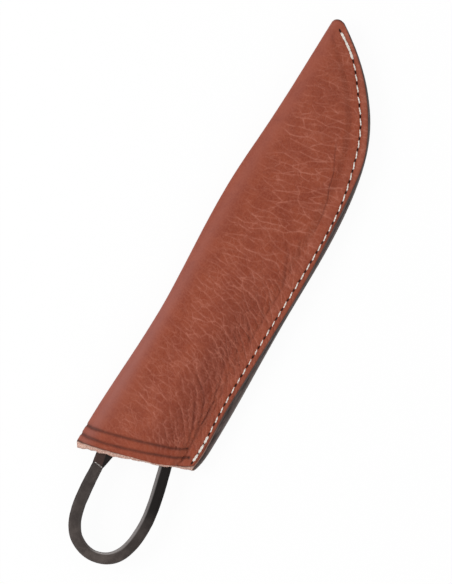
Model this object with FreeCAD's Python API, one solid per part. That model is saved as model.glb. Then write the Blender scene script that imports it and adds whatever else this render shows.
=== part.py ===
import FreeCAD, Part
import math
import os

# Sheathed knife: a one-piece forged knife whose bar handle is bent into a closed loop, carried in a
# folded leather sheath. The sheath is one piece of leather folded along the knife's spine and stitched
# down the edge side through a leather welt. A stitched strap on the back takes a belt.
#
# Frame, millimetres: +X runs from the sheath's mouth to its tip, +Y to the folded side, +Z up through
# the front leaf. The origin is the centre of the belt strap's outer face, which lies on the table.
#
# Along the sheath, lengths are given as x from the mouth corner at the fold, and y is minus the
# distance from the nominal fold line. SHIFT carries these sheath lengths into the frame above.

V = FreeCAD.Vector

# ---- driving dimensions -----------------------------------------------------------------------------
LEATHER = 2.1              # thickness of the folded leather and of the belt strap
WELT_SLOT = 3.0            # gap between the two leaves at the stitched edge
GLUE = 0.03                # glue line above and below the welt
SHEATH_LENGTH = 279.5
MOUTH_X = -1.2             # where the mouth's cut crosses the fold line
MOUTH_SLANT = 19.5         # degrees that the mouth is cut away from square, longer at the fold
POUCH_HEIGHT = 11.0        # outside height of the pouch at the fold
FLANGE_WIDTH = 10.0        # flat stitched border
STEEP_RAMP = 5.0           # the front leaf climbs from the border over the knife in a short steep part
GENTLE_RAMP = 30.0         # and a long gentle one that follows the blade's bevel
STEEP_SHARE = 0.5          # the steep part's share of the climb over the blade; at the mouth it is all of it
STEP_FRONT = 1.9           # the front leaf is trimmed this far inside the back leaf's edge
STEP_WELT = 0.8            # and the welt this far
SHEATH_CORNER = 3.2        # rounding of the sheath's two corners on the stitched side

STRAP_WIDTH = 28.0         # belt strap on the back
STRAP_LENGTH = 84.0
BELT_GAP = 4.8             # room for the belt's thickness
STRAP_TAB = 13.0           # stitched flat end of the strap
STRAP_RAMP = 8.0
STRAP_CORNER = 4.0
STRAP_CENTRE_X = 62.0
STRAP_CENTRE_Y = -31.0

THREAD_R = 0.45
LEG_APART = 0.47           # half the distance between the two legs of thread in one hole
HOLE_R = 1.05
THREAD_BEND = 0.6          # radius of the thread's bend over the edge of a hole
THREAD_LIFT = 0.05
STITCH = 6.2               # pitch of the seam stitches
STRAP_HOLE_INSET = 3.0     # strap holes from the strap's edges
STRAP_ROW_STITCHES = 4

BAR_WIDTH = 6.9            # forged bar of the loop handle
BAR_THICK = 5.0
BAR_END_THICK = 3.2        # where the bar lies down beside the blade
BAR_CHAMFER = 1.2
BLADE_THICK = 3.6          # at the heel
TIP_THICK = 1.2
EDGE_LAND = 0.4            # flat left on the cutting edge
SPINE_CHAMFER = 0.3
SPINE_DROP = 0.9           # how far the back falls over the last quarter of the blade
BEVEL_START = 0.42         # the bevel begins at this share of the blade's depth
KNIFE_LIFT = 1.15          # handle bar's clearance above the back leaf

BACK_Z = BELT_GAP + LEATHER                    # outer face of the back leaf
SLOT_Z = BACK_Z + LEATHER                      # inner face of the back leaf
FLANGE_HEIGHT = 2 * LEATHER + WELT_SLOT
KNIFE_Z = SLOT_Z + KNIFE_LIFT + BAR_THICK / 2
SHIFT = V(-STRAP_CENTRE_X, -STRAP_CENTRE_Y, 0)

# ---- outlines in plan -------------------------------------------------------------------------------
FOLD_LINE = [(-20, 0.9), (25, 1.4), (90, 0.0), (128, 2.0), (165, 3.8), (215, 2.0), (250, 1.4), (290, 1.1)]
SEAM_LINE = [(8, -65.2), (45, -65.6), (80, -64.7), (120, -63.4), (160, -63.0), (190, -61.0), (213, -57.0),
             (235, -49.0), (252, -37.5), (266, -23.6), (277, -8.8), (286, 5.5)]
STITCH_LINE = [(24.2, -60.2), (34, -60.5), (48, -59.6), (66, -58.7), (110, -58.6), (160, -58.6), (190, -56.7),
               (209.4, -52.4), (223, -48.1), (236.3, -41.8), (249.8, -31.8), (264, -19.9), (274.2, -5.3)]
HANDLE_PATH = [(-4, -15.7), (-22, -17.2), (-36, -20.2), (-45.0, -26.4), (-49.2, -37.2), (-45.8, -48.2),
               (-37, -54.1), (-23, -56.0), (-8, -54.3), (13.4, -48.9), (44, -41.2), (76, -34.5)]
BLADE_EDGE = [(75, -48.6), (120, -49.9), (160, -49.4), (185, -47.2), (205, -42.7), (222, -35.6),
              (239, -23.9), (252, -7.6)]
SPINE_Y = -5.2
HEEL_X = 75.0
BLADE_TIP_X = 252.0


def curve(points):
    """Smooth curve in plan through a few points."""
    spline = Part.BSplineCurve()
    spline.interpolate([V(x, y, 0) for x, y in points])
    return spline


fold_line = curve(FOLD_LINE)
seam_line = curve(SEAM_LINE)
stitch_line = curve(STITCH_LINE)
blade_edge = curve(BLADE_EDGE)


def parameter_at(line, x):
    """Parameter where a curve that always runs towards +X reaches x."""
    low = line.FirstParameter
    high = line.LastParameter
    for _ in range(50):
        middle = (low + high) / 2
        if line.value(middle).x < x:
            low = middle
        else:
            high = middle
    return (low + high) / 2


def y_at(line, x):
    return line.value(parameter_at(line, x)).y


def smooth(s):
    """0 below 0, 1 above 1, with a soft start and end."""
    s = min(1.0, max(0.0, s))
    return s * s * (3 - 2 * s)


def inset(line, distance, first, last, count=16):
    """Curve running a fixed distance inside an edge line, between two x stations."""
    start = parameter_at(line, first)
    end = parameter_at(line, last)
    points = []
    for i in range(count + 1):
        u = start + (end - start) * i / count
        along = line.tangent(u)[0]
        points.append(line.value(u) + V(-along.y, along.x, 0) * distance)
    spline = Part.BSplineCurve()
    spline.interpolate(points)
    return spline


def prism(edges, z, height):
    """Solid of a closed plan outline between z and z + height."""
    face = Part.Face(Part.Wire(Part.__sortEdges__(edges)))
    face.translate(V(0, 0, z))
    return face.extrude(V(0, 0, height))


def segment(a, b):
    return Part.LineSegment(a, b).toShape()


# ---- leather sheath ---------------------------------------------------------------------------------
FIRST_STATION = -14.0
STATIONS = [FIRST_STATION, 6, 26, 48, 75, 105, 135, 165, 192, 214, 232, 246, 257, 267, 276, 290]
OUTSIDE_Y = -80.0          # beyond the seam, where the plan outline does the trimming
BULGE_ENDS = (235.0, 278.0)
HANDLE_ENDS = (45.0, 85.0)         # the lower arm of the handle dies out between these stations


def pouch_height(x):
    """Outside height at the fold: full along the pouch, then down to the flat border at the tip."""
    falling = smooth((x - BULGE_ENDS[0]) / (BULGE_ENDS[1] - BULGE_ENDS[0]))
    return POUCH_HEIGHT + (FLANGE_HEIGHT - POUCH_HEIGHT) * falling


def flange_y(x):
    """Inner side of the flat stitched border."""
    x = min(x, 276.0)
    along = seam_line.tangent(parameter_at(seam_line, max(x, 9.0)))[0]
    return y_at(seam_line, max(x, 9.0)) + FLANGE_WIDTH / abs(along.x)


def section(x, skin):
    """Closed outline of the sheath across the length at x, drawn skin inside its outer surface."""
    height = pouch_height(x)
    radius = height / 2 - skin
    centre_y = y_at(fold_line, x) - height / 2
    centre_z = BACK_Z + height / 2
    low = BACK_Z + skin
    border_z = BACK_Z + FLANGE_HEIGHT - skin
    start_y = min(flange_y(x), centre_y - 1.5)
    span = centre_y - start_y
    past_handle = smooth((x - HANDLE_ENDS[0]) / (HANDLE_ENDS[1] - HANDLE_ENDS[0]))
    steep_share = 1 + (STEEP_SHARE - 1) * past_handle
    front = []
    steps = 12
    for i in range(steps + 1):
        along = span * (i / steps) ** 1.8
        steep = smooth(along / min(STEEP_RAMP, span))
        gentle = smooth(along / min(GENTLE_RAMP, span))
        climb = steep_share * steep + (1 - steep_share) * gentle
        front.append(V(x, start_y + along, border_z + (height - FLANGE_HEIGHT) * climb))
    front_line = Part.BSplineCurve()
    front_line.interpolate(front)
    top = V(x, centre_y, centre_z + radius)
    round_side = Part.Arc(top, V(x, centre_y + radius, centre_z), V(x, centre_y, centre_z - radius))
    return Part.Wire([
        segment(V(x, OUTSIDE_Y, low), V(x, OUTSIDE_Y, border_z)),
        segment(V(x, OUTSIDE_Y, border_z), front[0]),
        front_line.toShape(),
        round_side.toShape(),
        segment(V(x, centre_y, low), V(x, OUTSIDE_Y, low)),
    ])


def plan_outline(step):
    """Edges round the sheath in plan, trimmed step inside the seam edge, and left open past the fold."""
    seam = inset(seam_line, step, 8.5, 285.0)
    slope = math.tan(math.radians(MOUTH_SLANT))
    far = 12.0                                   # beyond the fold
    mouth_top = V(MOUTH_X - slope * far, far, 0)
    below = V(MOUTH_X - slope * OUTSIDE_Y, OUTSIDE_Y, 0)
    mouth = Part.LineSegment(mouth_top, below)
    tip_x = SHEATH_LENGTH - step * 0.5
    end = Part.LineSegment(V(tip_x, far, 0), V(tip_x, -30.0, 0))
    corner = seam.intersect(mouth)[0]
    corner = V(corner.X, corner.Y, 0)
    nose = seam.intersect(end)[0]
    nose = V(nose.X, nose.Y, 0)
    seam.segment(seam.parameter(corner), seam.parameter(nose))
    return [
        segment(mouth_top, corner),
        seam.toShape(),
        segment(nose, V(tip_x, far, 0)),
        segment(V(tip_x, far, 0), mouth_top),
    ]


def layer(step, z, height):
    """Everything inside the plan outline between z and z + height, with its two seam corners eased."""
    solid = prism(plan_outline(step), z, height)
    corners = []
    for edge in solid.Edges:
        upright = abs(edge.Vertexes[0].Point.z - edge.Vertexes[-1].Point.z) > height / 2
        if upright and edge.Vertexes[0].Point.y < 5:
            corners.append(edge)
    return solid.makeFillet(SHEATH_CORNER, corners)


def stitch_points(line, count):
    """count + 1 hole centres, evenly spaced along a curve."""
    return line.discretize(Number=count + 1)


SEAM_STITCHES = round(stitch_line.length() / STITCH)
seam_holes = stitch_points(stitch_line, SEAM_STITCHES)


def strap_tab_holes(side):
    """Hole centres of one stitched strap end: across near the end, back across further in."""
    half = STRAP_WIDTH / 2 - STRAP_HOLE_INSET
    outer_x = STRAP_CENTRE_X + side * (STRAP_LENGTH / 2 - STRAP_HOLE_INSET)
    inner_x = STRAP_CENTRE_X + side * (STRAP_LENGTH / 2 - STRAP_TAB + STRAP_HOLE_INSET)
    steps = [i / STRAP_ROW_STITCHES for i in range(STRAP_ROW_STITCHES + 1)]
    across = [V(outer_x, STRAP_CENTRE_Y - half + 2 * half * s, 0) for s in steps]
    back = [V(inner_x, STRAP_CENTRE_Y + half - 2 * half * s, 0) for s in steps]
    return across + back


strap_holes = {side: strap_tab_holes(side) for side in (-1, 1)}


def drilled(solid, holes, z, height):
    """Cuts an upright stitch hole at each plan point."""
    pins = [Part.makeCylinder(HOLE_R, height, V(p.x, p.y, z)) for p in holes]
    return solid.cut(Part.makeCompound(pins))


def sheath_body():
    outside = Part.makeLoft([section(x, 0.0) for x in STATIONS], True, True)
    inside = Part.makeLoft([section(x, LEATHER) for x in STATIONS], True, True)
    top = BACK_Z + POUCH_HEIGHT + 2
    split_z = SLOT_Z + WELT_SLOT / 2
    back_leaf = layer(0.0, 0.0, split_z)
    front_leaf = layer(STEP_FRONT, split_z, top - split_z)
    body = outside.common(back_leaf.fuse(front_leaf)).cut(inside)
    body = drilled(body, seam_holes, BACK_Z - 1, FLANGE_HEIGHT + 2)
    for side in (-1, 1):
        body = drilled(body, strap_holes[side], BACK_Z - 1, LEATHER + 1.5)
    return body


def welt():
    """Strip of leather between the leaves, along the stitched edge from mouth to tip."""
    band = layer(STEP_WELT, SLOT_Z + GLUE, WELT_SLOT - 2 * GLUE)
    inner_line = inset(seam_line, FLANGE_WIDTH, 8.5, 272.0)
    start = inner_line.value(inner_line.FirstParameter)
    end = inner_line.value(inner_line.LastParameter)
    pouch = prism([
        inner_line.toShape(),
        segment(end, V(end.x, 20, 0)),
        segment(V(end.x, 20, 0), V(-40, 20, 0)),
        segment(V(-40, 20, 0), V(-40, start.y, 0)),
        segment(V(-40, start.y, 0), start),
    ], 0, 40)
    slot = Part.makeLoft([section(x, LEATHER + GLUE) for x in STATIONS], True, True)
    strip = band.cut(pouch).common(slot)
    return drilled(strip, seam_holes, SLOT_Z - 1, WELT_SLOT + 2)


# ---- belt strap -------------------------------------------------------------------------------------
def strap_side(x, outward):
    """Height of the strap's outer or inner face at x along the strap, measured from its centre."""
    flat_end = STRAP_LENGTH / 2 - STRAP_TAB
    rise = BELT_GAP * smooth((flat_end - abs(x)) / STRAP_RAMP)
    return BACK_Z - rise - (LEATHER if outward else 0.0)


def belt_strap():
    """Strap bowed away from the back leaf between two flat stitched ends."""
    def face_curve(first, last, outward):
        points = []
        steps = 8
        for i in range(steps + 1):
            x = first + (last - first) * i / steps
            points.append(V(x, 0, strap_side(x, outward)))
        spline = Part.BSplineCurve()
        spline.interpolate(points)
        return spline.toShape()

    end = STRAP_LENGTH / 2
    tab = end - STRAP_TAB
    level = tab - STRAP_RAMP
    edges = []
    for outward in (True, False):
        z_end = strap_side(end, outward)
        z_level = strap_side(0, outward)
        edges.append(segment(V(-end, 0, z_end), V(-tab, 0, z_end)))
        edges.append(face_curve(-tab, -level, outward))
        edges.append(segment(V(-level, 0, z_level), V(level, 0, z_level)))
        edges.append(face_curve(level, tab, outward))
        edges.append(segment(V(tab, 0, z_end), V(end, 0, z_end)))
    for x in (-end, end):
        edges.append(segment(V(x, 0, strap_side(x, True)), V(x, 0, strap_side(x, False))))
    profile = Part.Face(Part.Wire(Part.__sortEdges__(edges)))
    strap = profile.extrude(V(0, STRAP_WIDTH, 0))
    strap.translate(V(STRAP_CENTRE_X, STRAP_CENTRE_Y - STRAP_WIDTH / 2, 0))
    upright = []
    for edge in strap.Edges:
        if abs(edge.tangentAt(edge.FirstParameter).z) > 0.99 and edge.Length < LEATHER + 0.1:
            upright.append(edge)
    strap = strap.makeFillet(STRAP_CORNER, upright)
    for side in (-1, 1):
        strap = drilled(strap, strap_holes[side], BACK_Z - LEATHER - 1, LEATHER + 2)
    return strap


# ---- threads ----------------------------------------------------------------------------------------
def staple_path(start, end, start_z, end_z, run_z, up):
    """Path of thread out of one hole, over the surface and into the next: leg, bend, run, bend, leg."""
    rise = V(0, 0, THREAD_BEND * up)
    along = (end - start).normalize() * THREAD_BEND
    corner = math.sqrt(0.5)
    first = V(start.x, start.y, run_z)
    last = V(end.x, end.y, run_z)
    first_bend = Part.Arc(first - rise, first - rise + along * (1 - corner) + rise * corner, first + along)
    last_bend = Part.Arc(last - along, last - rise - along * (1 - corner) + rise * corner, last - rise)
    return [
        segment(V(start.x, start.y, start_z), first - rise),
        first_bend.toShape(),
        segment(first + along, last - along),
        last_bend.toShape(),
        segment(last - rise, V(end.x, end.y, end_z)),
    ]


def lockstitch_thread(holes, run_z, turn_z):
    """One continuous thread: a run on the surface between holes, and a turn down inside each hole."""
    up = 1 if run_z > turn_z else -1
    legs = []
    for i, hole in enumerate(holes):
        before = holes[max(i - 1, 0)]
        after = holes[min(i + 1, len(holes) - 1)]
        along = (after - before).normalize() * LEG_APART
        legs.append((hole - along, hole + along))
    edges = []
    for i in range(len(holes) - 1):
        start = legs[i][1]
        end = legs[i + 1][0]
        edges += staple_path(start, end, turn_z, turn_z, run_z, up)
        if i + 2 < len(holes):
            leaving = legs[i + 1][1]
            low = holes[i + 1] + V(0, 0, turn_z - LEG_APART * up)
            turn = Part.Arc(V(end.x, end.y, turn_z), low, V(leaving.x, leaving.y, turn_z))
            edges.append(turn.toShape())
    path = Part.Wire(edges)
    first = edges[0].valueAt(edges[0].FirstParameter)
    profile = Part.Wire(Part.makeCircle(THREAD_R, first, V(0, 0, 1)))
    return path.makePipeShell([profile], True, True)


def thread_pair(holes, upper_face, lower_face):
    """The two threads of a lockstitch: one lies on the upper face, one on the lower face."""
    middle = (upper_face + lower_face) / 2
    reach = THREAD_R + LEG_APART + THREAD_LIFT
    stand = THREAD_R + THREAD_LIFT
    upper = lockstitch_thread(holes, upper_face + stand, middle + reach)
    lower = lockstitch_thread(holes, lower_face - stand, middle - reach)
    return upper, lower


# ---- knife ------------------------------------------------------------------------------------------
def blade_section(x, spine, shoulder, edge, thick, land, chamfer):
    """Eight-sided section at x: chamfered spine, flat down to the shoulder, then a bevel to the edge."""
    half = thick / 2
    outline = [(spine, half - chamfer), (spine - chamfer, half), (shoulder, half), (edge, land / 2)]
    points = [V(x, y, KNIFE_Z + z) for y, z in outline]
    points += [V(x, y, KNIFE_Z - z) for y, z in reversed(outline)]
    return Part.makePolygon(points + [points[0]])


def handle_loop():
    """Chamfered bar bent round in plan, from the root of the tang back to the heel of the blade."""
    path = curve(HANDLE_PATH)

    def bar_section(u, width, thick):
        at = path.value(u)
        along = path.tangent(u)[0]
        side = V(-along.y, along.x, 0)
        c = BAR_CHAMFER
        w = width / 2
        h = thick / 2
        top = [(w, h - c), (w - c, h), (c - w, h), (-w, h - c)]
        bottom = [(-a, -b) for a, b in top]
        corners = top + bottom
        points = [at + side * a + V(0, 0, KNIFE_Z + b) for a, b in corners]
        return Part.makePolygon(points + [points[0]])

    sweep = Part.BRepOffsetAPI.MakePipeShell(Part.Wire([path.toShape()]))
    sweep.setBiNormalMode(V(0, 0, 1))
    sweep.add(bar_section(path.FirstParameter, BAR_WIDTH, BAR_THICK))
    sweep.add(bar_section(path.LastParameter, BAR_WIDTH, BAR_END_THICK))
    sweep.build()
    sweep.makeSolid()
    return sweep.shape()


# Tang stations: x, back, top of the bevel, edge side, thickness, thickness at the edge side, back chamfer.
TANG = [(4, -11.2, -16.2, -20.2, 4.5, 1.8, 1.0),
        (26, -8.0, -16.6, -24.0, 4.1, 1.5, 0.7),
        (50, -5.8, -18.0, -29.0, 3.8, 1.4, 0.5),
        (76, SPINE_Y, -20.0, -33.5, BLADE_THICK, 1.4, 0.4)]


def tang():
    """The bar's root, forged wider towards the blade, its inner chamfer opening into the bevel."""
    root_x, root_y = HANDLE_PATH[0]
    back = root_y + BAR_WIDTH / 2
    inner = root_y - BAR_WIDTH / 2
    thick = TANG[0][4]
    inner_thick = thick - 2 * BAR_CHAMFER
    sections = [blade_section(root_x, back, inner + BAR_CHAMFER, inner, thick, inner_thick, BAR_CHAMFER)]
    sections += [blade_section(*station) for station in TANG]
    return Part.makeLoft(sections, True, False)


def blade():
    """Straight back, curved belly, and a bevel that follows the edge."""
    stations = [HEEL_X, 95, 120, 145, 165, 185, 203, 218, 230, 240, 247, BLADE_TIP_X]
    sections = []
    for x in stations:
        share = (x - HEEL_X) / (BLADE_TIP_X - HEEL_X)
        thick = BLADE_THICK + (TIP_THICK - BLADE_THICK) * share ** 1.6
        edge = y_at(blade_edge, x)
        spine = SPINE_Y - SPINE_DROP * smooth((share - 0.75) / 0.25)
        shoulder = spine + (edge - spine) * BEVEL_START
        sections.append(blade_section(x, spine, shoulder, edge, thick, EDGE_LAND, SPINE_CHAMFER))
    return Part.makeLoft(sections, True, False)


def knife():
    return handle_loop().fuse([tang(), blade()]).removeSplitter()


# ---- build ------------------------------------------------------------------------------------------
def main():
    os.makedirs("parts", exist_ok=True)
    seam_front, seam_back = thread_pair(seam_holes, BACK_Z + FLANGE_HEIGHT, BACK_Z)
    strap_inner = []
    strap_outer = []
    for side in (-1, 1):
        inner, outer = thread_pair(strap_holes[side], SLOT_Z, BACK_Z - LEATHER)
        strap_inner.append(inner)
        strap_outer.append(outer)
    nodes = {
        "knife": knife(),
        "sheath_body": sheath_body(),
        "welt": welt(),
        "belt_strap": belt_strap(),
        "seam_thread_front": seam_front,
        "seam_thread_back": seam_back,
        "strap_thread_inner": Part.makeCompound(strap_inner),
        "strap_thread_outer": Part.makeCompound(strap_outer),
    }
    for name, shape in nodes.items():
        shape.translate(SHIFT)
        shape.exportStep(f"parts/{name}.step")
        print(f"{name}: {len(shape.Solids)} solids, valid {shape.isValid()}, {shape.Volume:.0f} mm3")


main()
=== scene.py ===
import math
from itertools import product

import bpy
import numpy as np
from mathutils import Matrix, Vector


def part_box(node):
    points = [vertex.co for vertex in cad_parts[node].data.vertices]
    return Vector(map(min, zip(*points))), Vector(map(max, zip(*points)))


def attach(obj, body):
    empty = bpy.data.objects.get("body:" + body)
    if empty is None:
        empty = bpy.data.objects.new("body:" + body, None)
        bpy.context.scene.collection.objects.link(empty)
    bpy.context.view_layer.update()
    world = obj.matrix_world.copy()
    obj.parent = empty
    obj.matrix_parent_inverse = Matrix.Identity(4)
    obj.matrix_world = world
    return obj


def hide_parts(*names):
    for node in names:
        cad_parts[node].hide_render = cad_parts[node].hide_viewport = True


# A forged loop-handled knife in its folded and stitched leather sheath, lying front face up.
#
# Shapes are worked out in millimetres in sheath lengths: x from the mouth corner towards the tip, y to the
# folded side (0 on the nominal fold line, negative across to the seam) and z up from the table. place()
# carries them into the row's frame. On the leather, "along" is x and "across" is the distance over the
# surface from the fold line, positive down the front leaf and negative round the fold and down the back.

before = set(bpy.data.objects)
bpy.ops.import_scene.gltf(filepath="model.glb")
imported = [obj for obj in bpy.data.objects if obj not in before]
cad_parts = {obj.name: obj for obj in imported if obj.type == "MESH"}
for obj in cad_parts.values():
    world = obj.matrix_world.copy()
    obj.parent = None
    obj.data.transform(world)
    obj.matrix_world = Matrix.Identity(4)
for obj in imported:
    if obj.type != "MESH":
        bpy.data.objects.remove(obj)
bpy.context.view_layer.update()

# ---- sizes in mm, those of whole pieces from the frame
MM = 0.001
SHEATH_LENGTH = 279.5
FOLD_BULGE = 3.8            # furthest reach of the fold past its nominal line


def box_mm(node):
    low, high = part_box(node)
    return np.array(low) / MM, np.array(high) / MM


sheath_low, sheath_high = box_mm("sheath_body")
strap_low, strap_high = box_mm("belt_strap")
knife_low, knife_high = box_mm("knife")

ORIGIN = np.array([sheath_high[0] - SHEATH_LENGTH, sheath_high[1] - FOLD_BULGE, 0.0])
BACK_Z = sheath_low[2]                      # outer face of the back leaf
POUCH_HEIGHT = sheath_high[2] - sheath_low[2]
LEATHER = 2.1
SLOT_Z = BACK_Z + LEATHER                   # inner face of the back leaf
WELT_SLOT = 3.0
BORDER_HEIGHT = 2 * LEATHER + WELT_SLOT     # all layers at the stitched border
KNIFE_Z = (knife_low[2] + knife_high[2]) / 2

FOLD_LINE = [(-20, 0.9), (25, 1.4), (90, 0.0), (128, 2.0), (165, 3.8), (215, 2.0), (250, 1.4), (290, 1.1)]
SEAM_LINE = [(8, -65.2), (45, -65.6), (80, -64.7), (120, -63.4), (160, -63.0), (190, -61.0), (213, -57.0),
             (235, -49.0), (252, -37.5), (266, -23.6), (277, -8.8), (286, 5.5)]
STITCH_LINE = [(24.2, -60.2), (34, -60.5), (48, -59.6), (66, -58.7), (110, -58.6), (160, -58.6), (190, -56.7),
               (209.4, -52.4), (223, -48.1), (236.3, -41.8), (249.8, -31.8), (264, -19.9), (274.2, -5.3)]
HANDLE_PATH = [(-4, -15.7), (-22, -17.2), (-36, -20.2), (-45.0, -26.4), (-49.2, -37.2), (-45.8, -48.2),
               (-37, -54.1), (-23, -56.0), (-8, -54.3), (13.4, -48.9), (44, -41.2), (76, -34.5)]
BLADE_EDGE = [(75, -48.6), (120, -49.9), (160, -49.4), (185, -47.2), (205, -42.7), (222, -35.6),
              (239, -23.9), (252, -7.6)]


# ---- curves and noise
def cubic(points):
    """Smooth function through a few (place, value) points, held level outside them."""
    x, y = np.array(points, float).T
    n = len(x)
    h = np.diff(x)
    matrix = np.eye(n)
    right = np.zeros(n)
    for i in range(1, n - 1):
        matrix[i, i - 1:i + 2] = h[i - 1], 2 * (h[i - 1] + h[i]), h[i]
        right[i] = 6 * ((y[i + 1] - y[i]) / h[i] - (y[i] - y[i - 1]) / h[i - 1])
    bend = np.linalg.solve(matrix, right)

    def value(place):
        q = np.clip(place, x[0], x[-1])
        i = np.clip(np.searchsorted(x, q) - 1, 0, n - 2)
        after = q - x[i]
        before = x[i + 1] - q
        curved = (bend[i] * before ** 3 + bend[i + 1] * after ** 3) / (6 * h[i])
        from_left = (y[i] / h[i] - bend[i] * h[i] / 6) * before
        from_right = (y[i + 1] / h[i] - bend[i + 1] * h[i] / 6) * after
        return curved + from_left + from_right

    return value


def unit(vectors):
    return vectors / np.maximum(np.linalg.norm(vectors, axis=-1, keepdims=True), 1e-9)


def run_length(points):
    """Length along a line of points, from 0 at the first one."""
    return np.concatenate([[0], np.cumsum(np.linalg.norm(np.diff(points, axis=0), axis=1))])


def path_through(points, count):
    """Evenly spaced points along a smooth plan curve, their unit directions and the curve's length."""
    points = np.array(points, float)
    chord = np.concatenate([[0], np.cumsum(np.linalg.norm(np.diff(points, axis=0), axis=1) ** 0.5)])
    at_x = cubic(list(zip(chord, points[:, 0])))
    at_y = cubic(list(zip(chord, points[:, 1])))
    fine = np.linspace(0, chord[-1], 4000)
    trace = np.stack([at_x(fine), at_y(fine)], 1)
    length = run_length(trace)
    where = np.interp(np.linspace(0, length[-1], count), length, fine)
    spots = np.stack([at_x(where), at_y(where)], 1)
    return spots, unit(np.gradient(spots, axis=0)), length[-1]


def smooth(s):
    s = np.clip(s, 0, 1)
    return s * s * (3 - 2 * s)


def hashed(ix, iy, seed):
    """Repeatable number from 0 to 1 for each whole-numbered place."""
    n = (ix.astype(np.int64) * 374761393 + iy.astype(np.int64) * 668265263 + seed * 974634777) & 0xFFFFFFFF
    n = ((n ^ (n >> 13)) * 1274126177) & 0xFFFFFFFF
    return ((n ^ (n >> 16)) & 0xFFFFFF) / float(0xFFFFFF)


def noise(x, y, seed, octaves=1):
    """Smooth random field, about -1 to 1, that changes over one unit of x and y."""
    x = np.asarray(x, float)
    y = np.asarray(y, float)
    total = 0.0
    weight = 1.0
    whole = 0.0
    for octave in range(octaves):
        ix, iy = np.floor(x), np.floor(y)
        fx, fy = smooth(x - ix), smooth(y - iy)
        low = hashed(ix, iy, seed + octave) * (1 - fx) + hashed(ix + 1, iy, seed + octave) * fx
        high = hashed(ix, iy + 1, seed + octave) * (1 - fx) + hashed(ix + 1, iy + 1, seed + octave) * fx
        total = total + weight * ((low * (1 - fy) + high * fy) * 2 - 1)
        whole += weight
        weight *= 0.5
        x, y = x * 2.03 + 17.1, y * 2.03 + 5.7
    return total / whole


CELL_JITTER = 0.62


def cell_spot(column, row, seed):
    """A cell's own point; every other column is shifted by half a cell, so that cells interlock."""
    px = column + 0.5 + CELL_JITTER * (hashed(column, row, seed) - 0.5)
    py = row + 0.5 * (column % 2) + 0.5 + CELL_JITTER * (hashed(column, row, seed + 50) - 0.5)
    return px, py


def cell_network(x, y, wide, high, seed):
    """Cells about wide by high: distance to the nearest border, how far that border runs with the long cells,
    a number for it and one for the cell."""
    qx, qy = x / wide, y / high
    nearest = np.full(np.shape(qx), 9.0)
    own = [np.zeros(np.shape(qx))] * 4
    for dx, dy in product((-1, 0, 1), repeat=2):
        column = np.floor(qx) + dx
        row = np.floor(qy - 0.5 * (column % 2)) + dy
        px, py = cell_spot(column, row, seed)
        d = np.hypot(px - qx, py - qy)
        own = [np.where(d < nearest, new, old) for new, old in zip((px, py, column, row), own)]
        nearest = np.minimum(d, nearest)
    own_x, own_y, own_column, own_row = own
    border = np.full(np.shape(qx), 9.0 * wide)
    number, lengthwise = np.zeros(np.shape(qx)), np.zeros(np.shape(qx))
    for dx, dy in product((-2, -1, 0, 1, 2), repeat=2):
        if dx == dy == 0:
            continue
        column, row = own_column + dx, own_row + dy
        px, py = cell_spot(column, row, seed)
        gap = np.hypot(px - own_x, py - own_y)
        nx, ny = (px - own_x) / gap, (py - own_y) / gap
        stretch = np.hypot(nx / wide, ny / high)
        d = (((px + own_x) / 2 - qx) * nx + ((py + own_y) / 2 - qy) * ny) / stretch
        closer = d < border
        lengthwise = np.where(closer, np.abs(nx) / wide / stretch, lengthwise)
        number = np.where(closer, hashed(own_column + column, own_row + row, seed + 90), number)
        border = np.minimum(d, border)
    return border, lengthwise, number, hashed(own_column, own_row, seed + 95)


def distance_to_line(x, y, points):
    """Distance to a broken line through a few points, and how far along it from 0 to 1."""
    best = np.full(np.shape(x), 1e9)
    share = np.zeros(np.shape(x))
    count = len(points) - 1
    for i in range(count):
        (x0, y0), (x1, y1) = points[i], points[i + 1]
        dx, dy = x1 - x0, y1 - y0
        t = np.clip(((x - x0) * dx + (y - y0) * dy) / (dx * dx + dy * dy), 0, 1)
        d = np.hypot(x - x0 - t * dx, y - y0 - t * dy)
        closer = d < best
        best = np.where(closer, d, best)
        share = np.where(closer, (i + t) / count, share)
    return best, share


# ---- mesh building
def place(points):
    """From sheath lengths in mm to the row's frame in metres."""
    return (np.asarray(points, float) + ORIGIN) * MM


def grid_faces(rows, columns, start=0, wrap=False):
    """Quads of a grid of points stored row by row; wrap joins the last column to the first."""
    i = np.arange(rows - 1)[:, None]
    j = np.arange(columns if wrap else columns - 1)[None, :]
    k = (j + 1) % columns
    quads = np.stack([i * columns + j, (i + 1) * columns + j, (i + 1) * columns + k, i * columns + k], -1)
    return quads.reshape(-1, 4) + start


def new_mesh(name, points, faces):
    """Smooth mesh from points in sheath mm and face arrays, each array with its own number of corners."""
    mesh = bpy.data.meshes.new(name)
    faces = [np.atleast_2d(np.asarray(f, np.int32)) for f in faces]
    sizes = np.concatenate([np.full(len(f), f.shape[1], np.int32) for f in faces])
    corners = np.concatenate([f.ravel() for f in faces])
    mesh.vertices.add(len(points))
    mesh.vertices.foreach_set("co", place(points).astype(np.float32).ravel())
    mesh.loops.add(len(corners))
    mesh.loops.foreach_set("vertex_index", corners)
    mesh.polygons.add(len(sizes))
    mesh.polygons.foreach_set("loop_start", np.concatenate([[0], np.cumsum(sizes)[:-1]]).astype(np.int32))
    mesh.polygons.foreach_set("use_smooth", np.ones(len(sizes), bool))
    mesh.update(calc_edges=True)
    return mesh


def tube(grid, flip):
    """Closed tube round a grid of rings: (points, face arrays); flip turns its faces the other way out."""
    rows, columns = grid.shape[:2]
    turn = -1 if flip else 1
    ring = np.arange(columns)
    sides = grid_faces(rows, columns, wrap=True)[:, ::turn]
    return grid.reshape(-1, 3), [sides, ring[None, ::-turn], (ring + (rows - 1) * columns)[None, ::turn]]


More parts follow.
